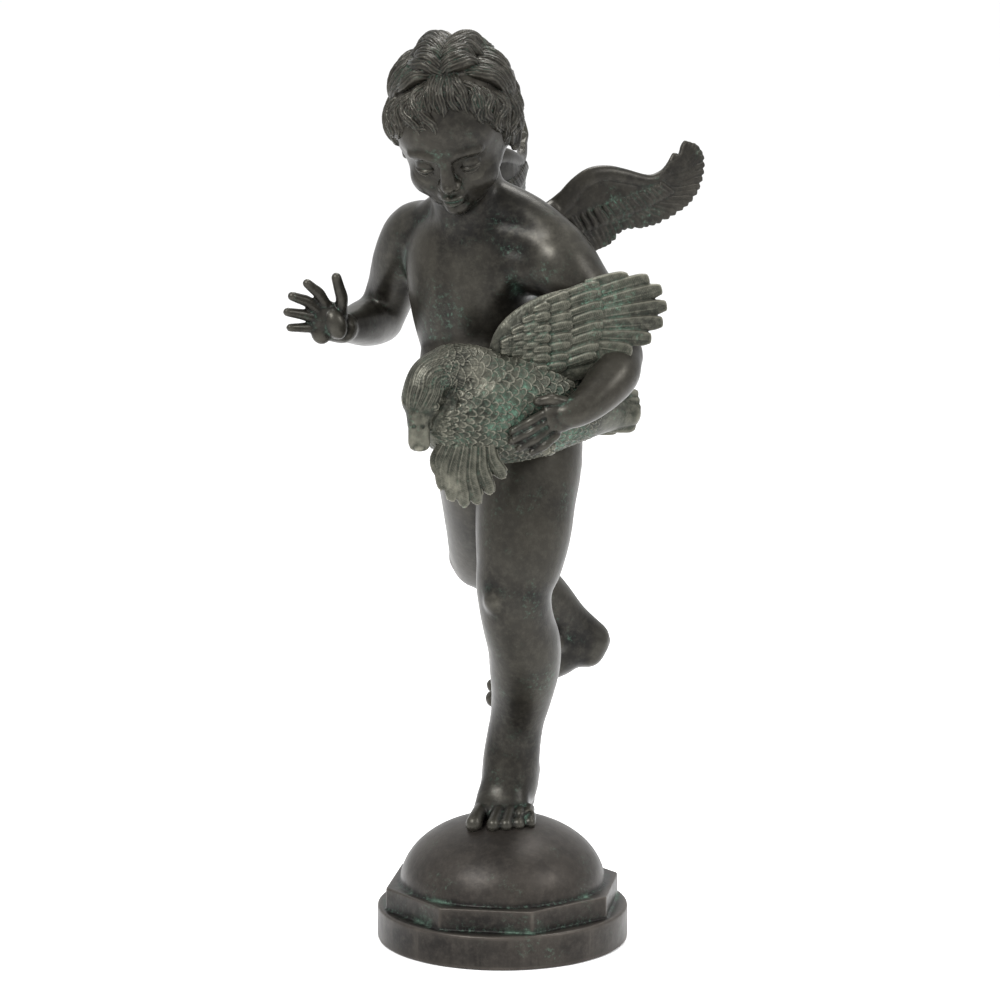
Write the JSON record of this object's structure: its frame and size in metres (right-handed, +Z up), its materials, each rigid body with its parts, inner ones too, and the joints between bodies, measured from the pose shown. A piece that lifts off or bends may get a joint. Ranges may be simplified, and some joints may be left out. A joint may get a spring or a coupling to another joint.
{
  "type": "cupid statue",
  "caption": "Cast bronze garden figure of a winged child running on one foot with a goose under the left arm, on a round stepped base with a low dome.",
  "frame": {"origin": "centre of the plinth's underside", "axes": "+Z up, -Y to the front, where the figure's face looks, +X to the viewer's right"},
  "size_m": [0.3398, 0.3248, 0.7508],
  "materials": {
    "figure_bronze": "dark brown to olive patina, soft gloss, verdigris in the feathers",
    "base_bronze": "dark brown patina, slightly dusty, verdigris along the toes and edges"
  },
  "bodies": {
    "root": {"figure": "figure_bronze", "base": "base_bronze"}
  },
  "joints": []
}
